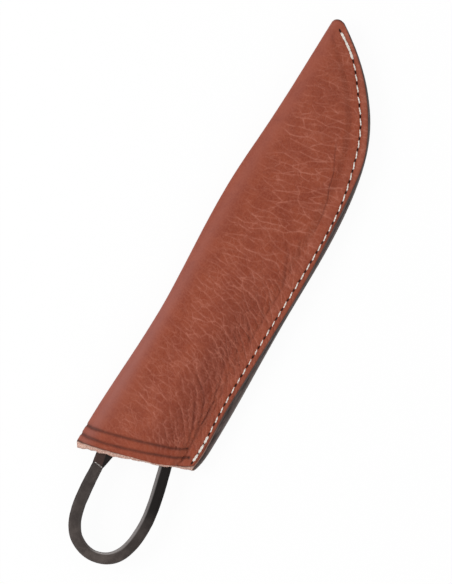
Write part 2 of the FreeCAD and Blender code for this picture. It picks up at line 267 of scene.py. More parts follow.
def between(corners, counts):
    """Points along a closed outline, with the given number on the way from each corner to the next."""
    across, up = [], []
    for i, count in enumerate(counts):
        (a0, b0), (a1, b1) = corners[i], corners[(i + 1) % len(corners)]
        s = np.arange(count) / count
        across.append(a0 + (a1 - a0) * s)
        up.append(b0 + (b1 - b0) * s)
    return np.concatenate(across), np.concatenate(up)


def make_piece(name, mesh, materials, body, node, values):
    """Show a mesh in place of one CAD node, with per-point values for its materials."""
    for material in materials:
        mesh.materials.append(material)
    for key, value in values.items():
        attribute = mesh.attributes.new(key, "FLOAT", "POINT")
        attribute.data.foreach_set("value", np.asarray(value, np.float32).ravel())
    piece = bpy.data.objects.new(name, mesh)
    bpy.context.scene.collection.objects.link(piece)
    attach(piece, body)
    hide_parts(node)


ROUGH_CUT = ((1.7, 3.1, 101), (2.1, 2.3, 102), (1.9, 4.7, 103))      # period, shift and seed in x, y, z


def closed_sheet(outer, inner, steps, bulge, ragged):
    """Closed slab between two grids of points: (points, sheet faces, rim faces, which rim steps are row 0's).

    The rim goes once round the grids' border, with steps between its outer and inner line."""
    rows, columns = outer.shape[:2]
    count = rows * columns
    index = np.arange(count).reshape(rows, columns)
    loop = np.concatenate([index[0, :-1], index[:-1, -1], index[-1, :0:-1], index[:0:-1, 0]])
    step_in = np.concatenate([index[1, :-1], index[:-1, -2], index[-2, :0:-1], index[:0:-1, 1]])
    flat_outer, flat_inner = outer.reshape(-1, 3), inner.reshape(-1, 3)
    away = unit((flat_outer[loop] - flat_outer[step_in]) * (1, 1, 0))
    a, b = flat_outer[loop], flat_inner[loop]
    points = [flat_outer, flat_inner]
    lines = [loop]
    i = np.arange(len(loop))
    for s in range(1, steps):
        share = s / steps
        middle = a + (b - a) * share + away * (bulge * 4 * share * (1 - share))
        rough = [noise(i / period, i * 0 + s * shift, seed, 2) for period, shift, seed in ROUGH_CUT]
        points.append(middle + np.stack(rough, 1) * ragged(a)[:, None])
        lines.append(2 * count + (s - 1) * len(loop) + i)
    lines.append(loop + count)
    rim = []
    for first, second in zip(lines[:-1], lines[1:]):
        rim.append(np.stack([first, np.roll(first, -1), np.roll(second, -1), second], 1))
    sheets = [grid_faces(rows, columns), grid_faces(rows, columns, count)[:, ::-1]]
    return np.concatenate(points), sheets, rim, loop < columns


def grid_normals(points):
    """Unit normals of a grid of points (rows, columns, 3)."""
    return unit(np.cross(np.gradient(points, axis=1), np.gradient(points, axis=0)))


def sheet_piece(name, node, outer, inner, cut, values, flat, raw_end):
    """Leather slab with a grain side, a flesh side and burnished edges; raw_end leaves the first row's raw.

    cut holds the steps over the thickness, the bulge of the edge and a function for its roughness."""
    points, sheets, rim, first_row = closed_sheet(outer, inner, *cut)
    count = outer.shape[0] * outer.shape[1]
    on_rim = np.zeros(len(points) - count)
    full = {key: np.concatenate([value.ravel(), on_rim]) for key, value in values.items()}
    tan = line(points[:, 0] - 26, 18) * smooth((points[:, 2] - (BACK_Z + BORDER_HEIGHT - 1.3)) / 0.6)
    tan[:count] = 0
    full["tan"] = tan * raw_end
    mesh = new_mesh(name, points, sheets + rim)
    picks = [np.zeros(len(sheets[0])), np.ones(len(sheets[1]))]
    picks += [np.where(first_row & raw_end, 3, 2)] * len(rim)
    mesh.polygons.foreach_set("material_index", np.concatenate(picks).astype(np.int32))
    places = np.zeros((len(points), 2), np.float32)
    places[:count] = flat.reshape(-1, 2)
    corners = np.zeros(len(mesh.loops), np.int32)
    mesh.loops.foreach_get("vertex_index", corners)
    layer = mesh.uv_layers.new(name="flat")
    layer.data.foreach_set("uv", (places[corners] / UV_MM).ravel())
    materials = [grain, flesh, burnished] + [raw] * raw_end
    make_piece(name, mesh, materials, "sheath", node, full)


# ---- node materials
UV_MM = 100                 # mm of leather to one unit of its UV map


class Nodes:
    """Short calls for building a node material."""

    def __init__(self, name):
        self.material = bpy.data.materials.new(name)
        self.material.use_nodes = True
        self.tree = self.material.node_tree
        self.shader = self.tree.nodes["Principled BSDF"]
        self.shader.inputs["IOR"].default_value = 1.45

    def node(self, kind, links=None, **settings):
        made = self.tree.nodes.new("ShaderNode" + kind)
        for key, value in settings.items():
            setattr(made, key, value)
        for key, value in (links or {}).items():
            self.put(made.inputs[key], value)
        return made

    def put(self, socket, value):
        if isinstance(value, bpy.types.NodeSocket):
            self.tree.links.new(value, socket)
        else:
            socket.default_value = value

    def value(self, name):
        return self.node("Attribute", attribute_name=name).outputs["Fac"]

    def math(self, operation, a, b=0.0, clamp=False, third=0.0):
        return self.node("Math", {0: a, 1: b, 2: third}, operation=operation, use_clamp=clamp).outputs[0]

    def times(self, a, b):
        return self.math("MULTIPLY", a, b)

    def plus(self, a, b):
        return self.math("ADD", a, b)

    def without(self, a):
        return self.math("SUBTRACT", 1.0, a, True)

    def ramp(self, source, low, high):
        """0 where source is at or below low, 1 at or above high."""
        made = self.node("MapRange", {"Value": source, "From Min": low, "From Max": high},
                         interpolation_type="SMOOTHSTEP")
        return made.outputs["Result"]

    def mix(self, amount, a, b):
        return self.node("Mix", {0: amount, 6: a, 7: b}, data_type="RGBA").outputs[2]

    def tint(self, colour, amount, share, other):
        """Colour turned towards another by a share of an amount."""
        return self.mix(self.math("MULTIPLY", amount, share, True), colour, other)

    def mapped(self, vector, scale):
        return self.node("Mapping", {"Vector": vector, "Scale": scale}).outputs["Vector"]

    def flat(self):
        """Flat leather place in mm."""
        return self.mapped(self.node("UVMap", uv_map="flat").outputs["UV"], (UV_MM, UV_MM, 1))

    def space(self, scale=1.0):
        """Place in the piece's own space, where 1 unit is 1 mm times scale."""
        return self.mapped(self.node("TexCoord").outputs["Object"], (scale / MM,) * 3)

    def noise(self, vector, scale, detail=3.0, rough=0.55, warp=0.0):
        made = self.node("TexNoise", {"Vector": vector, "Scale": scale, "Detail": detail, "Roughness": rough,
                                      "Distortion": warp})
        return made.outputs["Fac"]

    def cell_edge(self, vector, scale):
        made = self.node("TexVoronoi", {"Vector": vector, "Scale": scale}, feature="DISTANCE_TO_EDGE")
        return made.outputs["Distance"]

    def cracks(self, vector, scale, width, patch_scale):
        """Broken net of thin lines: 1 on a line, 0 beside it, missing in soft patches."""
        cells = self.mapped(vector, scale)
        wander = self.node("TexNoise", {"Vector": cells, "Scale": 1.1, "Detail": 2.0}).outputs["Color"]
        bent = self.node("VectorMath", {0: wander, 1: (0.7, 0.7, 0.0), 2: cells}, operation="MULTIPLY_ADD")
        edge = self.cell_edge(bent.outputs["Vector"], 1.0)
        there = self.ramp(self.noise(vector, patch_scale, 3.0), 0.44, 0.60)
        return self.times(self.without(self.ramp(edge, 0.0, width)), there)

    def bump(self, height, depth_mm, strength=1.0):
        made = self.node("Bump", {"Height": height, "Distance": depth_mm * MM, "Strength": strength})
        return made.outputs["Normal"]

    def finish(self, colour, roughness, normal=None, specular=0.5, **more):
        self.put(self.shader.inputs["Base Color"], colour)
        self.put(self.shader.inputs["Roughness"], roughness)
        self.put(self.shader.inputs["Specular IOR Level"], specular)
        if normal is not None:
            self.put(self.shader.inputs["Normal"], normal)
        for key, value in more.items():
            self.put(self.shader.inputs[key.replace("_", " ")], value)
        return self.material


def rgb(red, green, blue):
    """Colour given as 0 to 255 display values."""
    def linear(v):
        v /= 255
        return v / 12.92 if v <= 0.04045 else ((v + 0.055) / 1.055) ** 2.4
    return (linear(red), linear(green), linear(blue), 1.0)


def grain_leather():
    """Pebbled red-brown grain side from the mesh's values: pale cracks, burnt lines, creases and stitch holes
    darkened with painted shade, painted highlights beside the creases, painted shade on the slopes and a
    painted sheen along the fold.
    """
    n = Nodes("grain_leather")
    flat = n.flat()
    mottle = n.noise(flat, 0.09, 4.0, 0.6, 0.4)
    fine = n.noise(flat, 0.8, 3.0, 0.6)
    colour = n.mix(n.ramp(mottle, 0.3, 0.7), rgb(140, 57, 32), rgb(155, 70, 42))
    colour = n.tint(colour, n.ramp(fine, 0.35, 0.70), 0.45, rgb(166, 88, 62))
    # Painted shade: darker where the front leaf slopes down to the border; the strap takes an even share of
    # this tint.
    colour = n.tint(colour, n.value("shade"), 0.62, rgb(118, 48, 28))
    # Painted sheen along the fold.
    colour = n.tint(colour, n.value("sheen"), 0.50, rgb(162, 104, 97))
    leaning = n.node("CombineXYZ", {0: n.value("lean")}).outputs["Vector"]
    leaning = n.node("VectorMath", {0: flat, 1: leaning}, operation="ADD").outputs["Vector"]
    fine_crack = n.times(n.cracks(leaning, (0.60, 0.40, 1.0), 0.10, 0.16), 0.30)
    crack = n.math("ADD", n.cracks(leaning, (0.25, 0.17, 1.0), 0.07, 0.09), fine_crack, True)
    crack = n.times(crack, n.value("grain"))
    pale = n.math("ADD", n.value("pale"), n.times(crack, 0.36), True)
    # pale: the grain's pale cracks, plus painted highlights beside the creases and painted light at the foot
    # of the rise.
    colour = n.tint(colour, pale, 0.70, rgb(196, 121, 100))
    # Painted shade in the pressed creases.
    colour = n.mix(n.value("crease_shade"), colour, rgb(92, 32, 17))
    colour = n.mix(n.value("dark"), colour, rgb(54, 24, 18))
    # Painted shade in the stitch holes.
    colour = n.mix(n.value("hole_shade"), colour, rgb(30, 13, 10))
    height = n.times(n.ramp(n.cell_edge(flat, 1.15), 0.0, 0.35), n.plus(0.35, n.value("grain")))
    height = n.plus(height, n.times(fine, 0.5))
    height = n.math("SUBTRACT", height, n.times(crack, 0.9))
    rough = n.plus(n.plus(0.40, n.times(fine, 0.18)), n.times(pale, 0.12))
    return n.finish(colour, rough, n.bump(height, 0.10, 0.8), 0.32)


def raw_leather():
    """Fibrous undyed cut of the mouth: pinkish tan, with loose fibres."""
    n = Nodes("raw_leather")
    where = n.space()
    fibre = n.noise(where, 1.6, 5.0, 0.7, 0.8)
    colour = n.mix(n.ramp(fibre, 0.32, 0.68), rgb(190, 130, 112), rgb(252, 220, 204))
    colour = n.tint(colour, n.ramp(n.noise(where, 0.35), 0.55, 0.72), 0.5, rgb(158, 104, 90))
    colour = n.mix(n.value("dark"), colour, rgb(58, 34, 28))
    return n.finish(colour, 0.88, n.bump(fibre, 0.5), 0.2)


def flesh_leather():
    """Rough flesh side inside the pouch."""
    n = Nodes("flesh_leather")
    where = n.space()
    nap = n.noise(where, 0.8, 6.0, 0.72)
    colour = n.mix(n.ramp(nap, 0.3, 0.7), rgb(120, 74, 54), rgb(176, 128, 98))
    return n.finish(colour, 0.95, n.bump(nap, 0.35), 0.15, Sheen_Weight=0.3)


def burnished_leather():
    """Seam edge: dyed nearly black, rubbed smooth, with the layers and scuffs showing through."""
    n = Nodes("burnished_leather")
    where = n.space()
    layer = n.noise(n.mapped(where, (0.12, 0.4, 2.6)), 1.0, 4.0, 0.6)
    colour = n.mix(n.ramp(layer, 0.35, 0.7), rgb(60, 47, 44), rgb(104, 88, 84))
    height = n.node("SeparateXYZ", {0: where}).outputs["Z"]
    lower = n.without(n.ramp(height, SLOT_Z + 0.3, SLOT_Z + WELT_SLOT))
    colour = n.tint(colour, lower, 0.60, rgb(128, 114, 110))
    scuff = n.ramp(n.noise(where, 0.28, 5.0, 0.7), 0.62, 0.78)
    colour = n.tint(colour, scuff, 0.35, rgb(110, 74, 60))
    colour = n.mix(n.value("tan"), colour, rgb(186, 128, 106))
    grain = n.noise(where, 1.8, 4.0, 0.6)
    return n.finish(colour, n.plus(0.42, n.times(grain, 0.25)), n.bump(grain, 0.18), 0.4)


def waxed_thread(name, clean):
    """Two-ply waxed linen: off-white, greyer where wax holds dirt, fibres along the twist."""
    n = Nodes(name)
    where = n.space()
    fibre = n.noise(where, 2.6, 4.0, 0.65)
    colour = n.mix(n.ramp(fibre, 0.3, 0.7), rgb(236, 228, 216), clean)
    colour = n.tint(colour, n.ramp(n.noise(where, 0.5), 0.45, 0.7), 0.15, rgb(190, 170, 150))
    # Painted shade where the thread sinks into the holes.
    colour = n.mix(n.value("sunk_shade"), colour, rgb(92, 70, 58))
    return n.finish(colour, 0.62, n.bump(fibre, 0.12), 0.3, Sheen_Weight=0.2)


def forged_iron():
    """Fire-blackened iron, mottled scale, a painted highlight on the loop's inner chamfer, painted shade
    towards the mouth, and a ground and honed cutting bevel.
    """
    n = Nodes("forged_iron")
    where = n.space()
    colour = n.mix(n.ramp(n.noise(where, 0.16, 5.0, 0.62, 0.3), 0.35, 0.68), rgb(72, 64, 61), rgb(92, 83, 79))
    speck = n.noise(where, 1.3, 5.0, 0.7)
    colour = n.tint(colour, n.ramp(speck, 0.5, 0.8), 0.5, rgb(110, 100, 96))
    # Painted shade: the iron darker towards the sheath's mouth and on the step's facet.
    colour = n.mix(n.value("iron_shade"), colour, rgb(24, 20, 19))
    colour = n.tint(colour, n.value("brown"), 0.7, rgb(72, 52, 46))
    # Painted highlight along the loop's inner chamfer.
    colour = n.mix(n.value("chamfer_highlight"), colour, rgb(176, 170, 168))
    spot = n.node("SeparateXYZ", {0: where})
    lean = n.math("MULTIPLY_ADD", spot.outputs["Y"], STEP_LEAN, third=STEP_PLACE)
    beside = n.math("ABSOLUTE", n.math("SUBTRACT", spot.outputs["X"], lean))
    nick = n.times(n.ramp(n.noise(where, 1.1, 2.0), 0.40, 0.52), n.value("nicked"))
    nick = n.times(n.without(n.ramp(beside, 0.16, 0.36)), nick)
    colour = n.mix(nick, colour, rgb(226, 220, 216))
    grind = n.noise(n.mapped(where, (2.4, 0.16, 0.16)), 1.0, 4.0, 0.6)
    steel = n.mix(n.ramp(grind, 0.3, 0.7), rgb(120, 120, 122), rgb(176, 176, 178))
    bright = n.value("bright")
    colour = n.mix(bright, colour, steel)
    rough = n.math("SUBTRACT", n.plus(0.42, n.times(speck, 0.22)), n.times(bright, 0.15))
    height = n.plus(speck, n.times(n.noise(where, 0.5), 1.2))
    metal = n.plus(0.08, n.times(bright, 0.85))
    return n.finish(colour, rough, n.bump(height, 0.14, 0.7), 0.2, Metallic=metal)


STEP = (-3.9, -16.0)        # the forged step where the bar becomes the tang
STEP_LEAN = 0.08
STEP_PLACE = STEP[0] + ORIGIN[0] - STEP_LEAN * (STEP[1] + ORIGIN[1])

grain = grain_leather()
raw = raw_leather()
flesh = flesh_leather()
burnished = burnished_leather()
seam_thread = waxed_thread("seam_thread", rgb(255, 252, 246))
strap_thread = waxed_thread("strap_thread", rgb(246, 240, 228))
iron = forged_iron()

# ---- sheath outlines
fold_y = cubic(FOLD_LINE)
plain_seam_y = cubic(SEAM_LINE)
stitch_y = cubic(STITCH_LINE)
FLANGE_WIDTH = 10.0         # flat border beside the seam
STEEP_RAMP = 6.0            # width of the steep rise from the border, and of the gentle one
GENTLE_RAMP = 30.0
STEEP_SHARE = 0.5           # of the rise that stays steep past the handle
BULGE_ENDS = (235.0, 278.0)      # the pouch's height falls to the border's between these
HANDLE_ENDS = (45.0, 85.0)       # the gentle rise begins between these
FOLD_REACH = 13.0           # how far in from the fold the front leaf starts to curve over it
CROWN = 0.5                 # rise of the front leaf between seam and fold

grain_mouth = cubic([(-8, 0.9), (0, 1.7), (5.6, 2.9), (11.2, 4.3), (19.6, 6.7), (28, 9.1), (36.4, 11.6),
                     (44.8, 14.3), (53.2, 18.2), (58.8, 20.9), (62.7, 23.8), (67, 26.5)])
mouth_skive = cubic([(-8, 3.6), (2.2, 3.7), (5.6, 2.8), (11, 2.6), (19.6, 2.4), (28, 1.8), (36.4, 1.0),
                     (44.8, 1.1), (53.2, 1.2), (58.8, 1.9), (62.7, 3.4), (67, 3.8)])
edge_trim = cubic([(18, 1.6), (25, 2.6), (34, 3.1), (56, 4.0), (78, 3.2), (101, 2.2), (135, 1.4), (179, 2.5),
                   (202, 1.8), (218, 0.9), (236, 1.4), (262, 1.0), (281, 0.8)])


def seam_y(x):
    """Seam edge, drawn in where it rounds the corner to the mouth."""
    return plain_seam_y(x) + 2.4 * (1 - smooth((x - 14) / 18))


def seam_slope(x):
    """How much longer a step square to the seam is when measured straight across the sheath."""
    x = np.minimum(x, SHEATH_LENGTH - 0.5)
    rise = plain_seam_y(x + 0.5) - plain_seam_y(x - 0.5)
    return np.sqrt(1 + rise * rise)


def pouch_height(x):
    falling = smooth((x - BULGE_ENDS[0]) / (BULGE_ENDS[1] - BULGE_ENDS[0]))
    return POUCH_HEIGHT + (BORDER_HEIGHT - POUCH_HEIGHT) * falling


def ramp_start(x):
    """Where the front leaf starts to rise from the stitched border."""
    border = plain_seam_y(np.minimum(x, 276)) + FLANGE_WIDTH * seam_slope(x)
    return np.minimum(border, fold_y(x) - pouch_height(x) / 2 - 1.5)


def fold_reach(x):
    half = pouch_height(x) / 2
    room = np.clip((fold_y(x) - ramp_start(x) - half - 1.5) / 20, 0, 1)
    return half + (FOLD_REACH - half) * room


def front_height(x, y):
    """Height of the front leaf's grain side over the back leaf's outer face."""
    start = ramp_start(x)
    span = fold_y(x) - fold_reach(x) - start
    past_handle = smooth((x - HANDLE_ENDS[0]) / (HANDLE_ENDS[1] - HANDLE_ENDS[0]))
    share = 1 + (STEEP_SHARE - 1) * past_handle
    steep = smooth((y - start) / np.minimum(STEEP_RAMP, span))
    gentle = smooth((y - start) / np.minimum(GENTLE_RAMP, span))
    crown = CROWN * np.sin(math.pi * np.clip((y - start) / span, 0, 1)) ** 2 * np.clip(span / 30, 0, 1)
    return BORDER_HEIGHT + (pouch_height(x) - BORDER_HEIGHT) * (share * steep + (1 - share) * gentle) + crown


# ---- stitch places
STITCH = 6.2
_, _, stitch_length = path_through(STITCH_LINE, 10)
STITCHES = round(stitch_length / STITCH)
stitch_holes, stitch_ahead, _ = path_through(STITCH_LINE, STITCHES + 1)
DOUBLED = 3                                    # stitches sewn twice at each end of the seam

# ---- leather relief
# Burnt lines beside the mouth and creases pressed in by use, as (along, across) in mm on the front leaf.
BURNT_LINES = [
    [(6.0, -3), (6.2, 0), (8.4, 11.2), (11.8, 22.4), (15.7, 33.6), (20.2, 44.8), (24.1, 54.3), (25.8, 57.1)],
    [(11.6, -3), (11.8, 0), (14.6, 11.2), (17.9, 22.4), (21.6, 33.6), (25.5, 44.8), (29.7, 53.2)],
]
CREASES = [
    ([(31, 51.8), (38, 49.6), (45, 47.6), (52, 43.8), (58, 39.6)], 0.30),
    ([(33, 53.2), (44, 51.4), (53, 48.6), (60, 45.2), (64, 41.2), (68, 35)], 0.26),
    ([(31, 54.0), (42, 53.0), (56, 52.6), (68, 50.2), (78, 47.4)], 0.34),
    ([(76, 50.6), (80, 46.4), (85, 43.4), (87.5, 39.4)], 0.20),
    ([(84, 52.0), (88, 49.6), (94, 47.6), (99, 41)], 0.16),
    ([(99, 53.2), (103, 49.4), (108, 45.2), (112, 39)], 0.18),
    ([(114, 52.4), (120, 47.0), (124.5, 41)], 0.15),
    ([(99, 52.4), (115, 52.6), (129, 52.8), (137, 52.2)], 0.16),
    ([(134, 53.4), (144, 48.6), (152.6, 45.2), (157.6, 40.3)], 0.18),
    ([(153, 51.6), (160, 48.4), (164, 46.6)], 0.14),
    ([(18.0, 53.0), (22, 54.6), (26, 55.2), (32, 54.4)], 0.34),
]
BLADE_IMPRINT = [(170, 51.4), (182, 50.4), (188, 49), (195.6, 45.6), (204.4, 43.0), (213, 38.4), (221, 35.4)]
valley = cubic([(20, 55), (32, 54), (56, 53.4), (80, 52.2), (112, 52.6), (150, 52.5), (190, 50)])
seam_lean = cubic([(20, 1.4), (34, 1.2), (50, 0.8), (73, 0.62), (106, 0.52), (126, 0.42), (155, 0.28),
                   (180, 0.1), (200, 0.0)])
middle_lean = cubic([(20, 0.2), (90, 0.2), (126, 0.1), (155, -0.1), (180, -0.22), (280, -0.2)])


def crease_place(along, face):
    """Place along the sheath measured square to the leather's natural creases, which lean and fan out."""
    low = np.maximum(0, (face - 20) / 30)
    return along + middle_lean(along) * (face - 30) + seam_lean(along) * 12 * low ** 2.5


def crease_lines(along, face, wide, long, seed, wander, missing):
    """Border distance in mm, line strength and cell tone of a net of leather creases."""
    off_a = wander * noise(along / (1.6 * wide), face / (0.6 * long), seed + 11, 2)
    off_b = wander * noise(along / (1.6 * wide) + 40, face / (0.6 * long), seed + 12, 2)
    border, lengthwise, number, tone = cell_network(along + off_a, face + off_b, wide, long, seed)
    strength = smooth((number - missing + 0.25) / 0.5) * (0.18 + 0.82 * smooth((lengthwise - 0.25) / 0.45))
    return border, strength, tone


def line(distance, width):
    return np.exp(-(distance / width) ** 2)


def net_relief(along, face, front):
    """Height in mm and pale colour of the natural grain: long creases, a rounder net and small pebbles."""
    square = crease_place(along, face)
    round_place = along + 0.6 * (square - along)
    low_half = smooth((face - 30) / 14) * (1 - smooth((along - 100) / 70)) * front
    fan = smooth((face - 21) / 12) * (1 - smooth((along - 62) / 30)) * front
    tip_half = smooth((along - 110) / 40)

    # Where the mouth is squeezed the creases fan out from the seam corner, so their places are turned.
    turned = 0.55 * along + 0.83 * face + 0.010 * (50 - face) ** 2
    run = 0.83 * along - 0.55 * face
    long_d, long_k, long_t = crease_lines(square, face, 4.8, 14.0, 1, 1.2, 0.20)
    cross_d, cross_k, _ = crease_lines(square - 0.40 * face, face, 6.4, 17.0, 3, 1.2, 0.38)
    net_d, net_k, net_t = crease_lines(round_place, face, 3.6, 5.4, 5, 0.8, 0.24)
    fine_d, fine_k, _ = crease_lines(along, face, 1.7, 2.2, 9, 0.4, 0.20)
    fan_d, fan_k, fan_t = crease_lines(turned, run, 3.9, 11.0, 13, 0.9, 0.12)
    knot_d, knot_k, _ = crease_lines(turned, run, 2.8, 4.4, 15, 0.7, 0.20)

    patch = 0.55 + 0.45 * smooth((noise(along / 22, face / 16, 21, 2) + 0.45) / 0.8)
    patch2 = 0.40 + 0.60 * smooth((noise(along / 12, face / 10, 31, 2) + 0.40) / 0.8)
    smooth_patch = line(along - 46, 16) * line(face - 34, 10)
    strong = 1 + 0.45 * low_half + 0.35 * line(along - 35, 16) * line(face - 17, 10)
    long_part = 0.95 * long_k * patch * strong * (1 - fan) * (1 - 0.35 * line(along - 40, 40))
    cross_part = cross_k * patch2 * (0.25 + 0.72 * tip_half) * (1 - fan)
    net_part = net_k * patch2 * strong * (0.85 - 0.38 * tip_half) * (1 - fan)
    fan_part = fan_k * fan * patch * (1 - 0.6 * smooth_patch)
    knot_part = knot_k * fan * patch2 * (1 - 0.4 * smooth_patch)
    fine_part = fine_k * (0.35 + 0.15 * low_half)

    height = -0.12 * cross_part * line(cross_d, 0.40)
    height -= (0.05 + 0.06 * low_half) * fine_part * line(fine_d, 0.34)
    pale = (0.35 + 0.35 * low_half) * fine_part * line(fine_d, 0.28)
    pale += cross_part * (0.85 * line(cross_d, 0.30) + 0.12 * line(cross_d, 0.7))
    for part, d, deep in ((long_part, long_d, 0.15), (net_part, net_d, 0.13), (0.95 * fan_part, fan_d, 0.16),
                          (0.78 * knot_part, knot_d, 0.14)):
        height -= (deep + 0.16 * low_half) * part * line(d, 0.42)
        pale += part * (0.85 * line(d, 0.30) + 0.12 * line(d, 0.75))
    for share, dome_d, pebble_d in ((1 - fan, long_d, net_d), (fan, fan_d, knot_d)):
        height += share * (0.06 + 0.20 * low_half) * (1 - np.exp(-dome_d / 1.2))
        height += share * (0.07 + 0.46 * low_half) * (1 - np.exp(-pebble_d))
    pale *= 0.72 + 0.40 * noise(along / 1.6, face / 2.4, 51, 2)
    tone = (1 - fan) * long_t + fan * fan_t
    pale += 0.16 * (net_t - 0.5) + 0.12 * (tone - 0.5) - 0.04
    return height, pale


def relief(along, across, down):
    """Height in mm and material values of the leather's grain side.

    Places on the front leaf are measured over the surface, those on the flat back leaf straight down.
    """
    front = across > 0
    face = np.where(front, across, down)
    border = smooth((face - valley(along) - 0.5) / 4)
    from_mouth = along - grain_mouth(np.clip(face, -8, 66))
    clear_of_mouth = 0.40 + 0.60 * smooth((from_mouth - 8.5) / 4)
    fold_width = 14 + 5 * line(along - 85, 30) - 5 * smooth((along - 170) / 40)
    strength = smooth((face - 1) / fold_width) * clear_of_mouth * (1 - 0.20 * border)
    height, pale = net_relief(along, face, front)
    height = strength * height
    pale = strength * pale
    height += 0.22 * noise(along / 46, face / 30, 41, 2) + 0.05 * noise(along / 9, face / 14, 43, 2)
    dark, crease_shade, hole_shade = (np.zeros(np.shape(along)) for _ in range(3))

    wander = 0.6 * noise(along / 5, across / 5, 61, 2) + 0.35 * noise(along / 1.8, across / 1.8, 62, 1)
    uneven = 0.62 + 0.55 * noise(along / 2.2, across / 2.2, 63, 2)
    for points, depth in CREASES:
        d, share = distance_to_line(along + wander, across + 0.6 * wander, points)
        depth = depth * np.sin(math.pi * np.clip(share * 0.86 + 0.10, 0, 1)) ** 0.7
        height += depth * (0.7 * line(d - 1.6, 0.8) - 1.2 * line(d, 0.75))
        # Painted shade down each crease; the pale line beside it is a painted highlight on its lit side.
        crease_shade = np.maximum(crease_shade, 2.4 * depth * uneven * (0.75 * line(d, 0.48) + 0.25 * line(d, 1.2)))
        pale = np.maximum(pale, 1.7 * depth * uneven * line(d - 1.05, 0.36))
    d, share = distance_to_line(along, across + 0.5 * wander, BLADE_IMPRINT)
    fade = np.sin(math.pi * np.clip(share * 0.9 + 0.05, 0, 1)) ** 0.5
    height -= 0.16 * fade * line(d, 0.55)
    uneven = 0.6 + 0.4 * noise(along / 4, across / 4, 64, 2)
    # Painted shade along the blade's imprint.
    crease_shade = np.maximum(crease_shade, 0.85 * fade * uneven * line(d, 0.40))

    near_fold = line(face, 6)
    burnt_face = np.where(front, across, np.maximum(face, -3))
    wobble = 0.85 + 0.15 * noise(along / 3, across / 3, 71, 2)
    for points in BURNT_LINES:
        d, share = distance_to_line(along, burnt_face, points)
        burnt = (0.64 + 0.20 * near_fold + 0.12 * share) * wobble
        end_x, end_face = points[-1]
        dot = line(np.hypot(along - end_x, across - end_face), 1.0) * front
        height -= 0.34 * line(d, 0.8) + 0.3 * dot
        dark = np.maximum(dark, np.maximum(burnt * line(d, 0.88 + 0.25 * near_fold), 0.92 * dot))
        pale = pale * (1 - line(d, 1.1))
    near_top = line(face - 4, 16)
    dark = np.maximum(dark, (0.72 + 0.23 * near_top) * line(from_mouth, 0.45 + 0.35 * near_top))

    for (x, y), (dx, dy) in zip(stitch_holes, stitch_ahead):
        ahead = (along - x) * dx + (-face - y) * dy
        aside = (along - x) * -dy + (-face - y) * dx
        d = np.hypot(ahead / 1.3, aside / 0.56)
        height -= 0.8 * line(d, 0.9)
        # Painted shade in the stitch holes.
        hole_shade = np.maximum(hole_shade, 0.95 * smooth((1.2 - d) / 0.6))
    d, _ = distance_to_line(along, face, [(x, -y) for x, y in stitch_holes])
    height -= 0.14 * line(d, 1.5)
    pale = pale * (1 - line(d, 1.6))

    # Painted light that lifts the shade at the foot of the rise above the border.
    foot_light = smooth((face - valley(along) + 5) / 5) * front * (1 - smooth((along - 190) / 60))
    past_seam = smooth((face + stitch_y(along) - 1.0) / 1.5) * smooth((along - 185) / 30) * front
    pale += 0.08 * foot_light + 0.24 * past_seam
    pale += 0.05 * smooth((along - 170) / 60) + 0.10 * line(along - 30, 22) * line(face - 12, 12)
    # Painted shade: darker down the front leaf's slope towards the border, less near the mouth and at the
    # valley, with random tone mixed in.
    shade = 1.05 * smooth((face - 23) / 18) * (1 - smooth((along - 85) / 60)) * front
    shade = shade * (1 - smooth((face - valley(along) + 7) / 5)) * (0.4 + 0.6 * smooth((from_mouth - 6) / 10))
    shade = shade + 0.25 * noise(along / 30, face / 18, 81, 2)
    # Painted sheen: a pale reflection painted along the fold.
    sheen = line(face, 5.5) * (0.40 + 0.75 * line(along - 62, 50))
    looks = {"pale": pale, "dark": dark, "crease_shade": crease_shade, "shade": shade, "sheen": sheen}
    looks = {name: np.clip(value, 0, 1) for name, value in looks.items()}
    lean = 0.7 * (crease_place(along, face) - along)
    return height, looks | {"hole_shade": hole_shade, "grain": strength, "lean": lean}


# ---- sheath leather
ROWS = 801
FRONT_COLUMNS = 176
FOLD_COLUMNS = 44
BACK_COLUMNS = 80
COLUMNS = FRONT_COLUMNS + FOLD_COLUMNS + BACK_COLUMNS


def leather_surface(x, skin):
    """Points (rows, columns, 3), from the front seam edge over the fold to the back one, x given for each."""
    height = pouch_height(x)
    reach = fold_reach(x)
    slope = seam_slope(x)
    middle = fold_y(x) - reach
    back_middle = fold_y(x) - height / 2
    front_edge = np.minimum(seam_y(x) + (edge_trim(x) - 0.35 * skin) * slope, middle - 0.2)
    back_edge = np.minimum(seam_y(x) + 0.12 * skin * slope, back_middle - 0.2)
    y, z = np.zeros(x.shape), np.zeros(x.shape)
    a = slice(0, FRONT_COLUMNS)
    y[:, a] = front_edge[:, a] + (middle - front_edge)[:, a] * np.linspace(0, 1, FRONT_COLUMNS)
    z[:, a] = front_height(x[:, a], y[:, a]) - skin
    a = slice(FRONT_COLUMNS, FRONT_COLUMNS + FOLD_COLUMNS)
    turn = math.pi * (0.5 - np.arange(1, FOLD_COLUMNS + 1) / (FOLD_COLUMNS + 1))
    over = np.where(turn > 0, middle[:, a], back_middle[:, a])
    wide = np.where(turn > 0, reach[:, a], height[:, a] / 2)
    y[:, a] = over + (wide - skin) * np.cos(turn)
    z[:, a] = height[:, a] / 2 + (height[:, a] / 2 - skin) * np.sin(turn)
    a = slice(FRONT_COLUMNS + FOLD_COLUMNS, COLUMNS)
    y[:, a] = back_middle[:, a] + (back_edge - back_middle)[:, a] * np.linspace(0, 1, BACK_COLUMNS)
    z[:, a] = skin
    return np.stack([x, y, z + BACK_Z], -1)


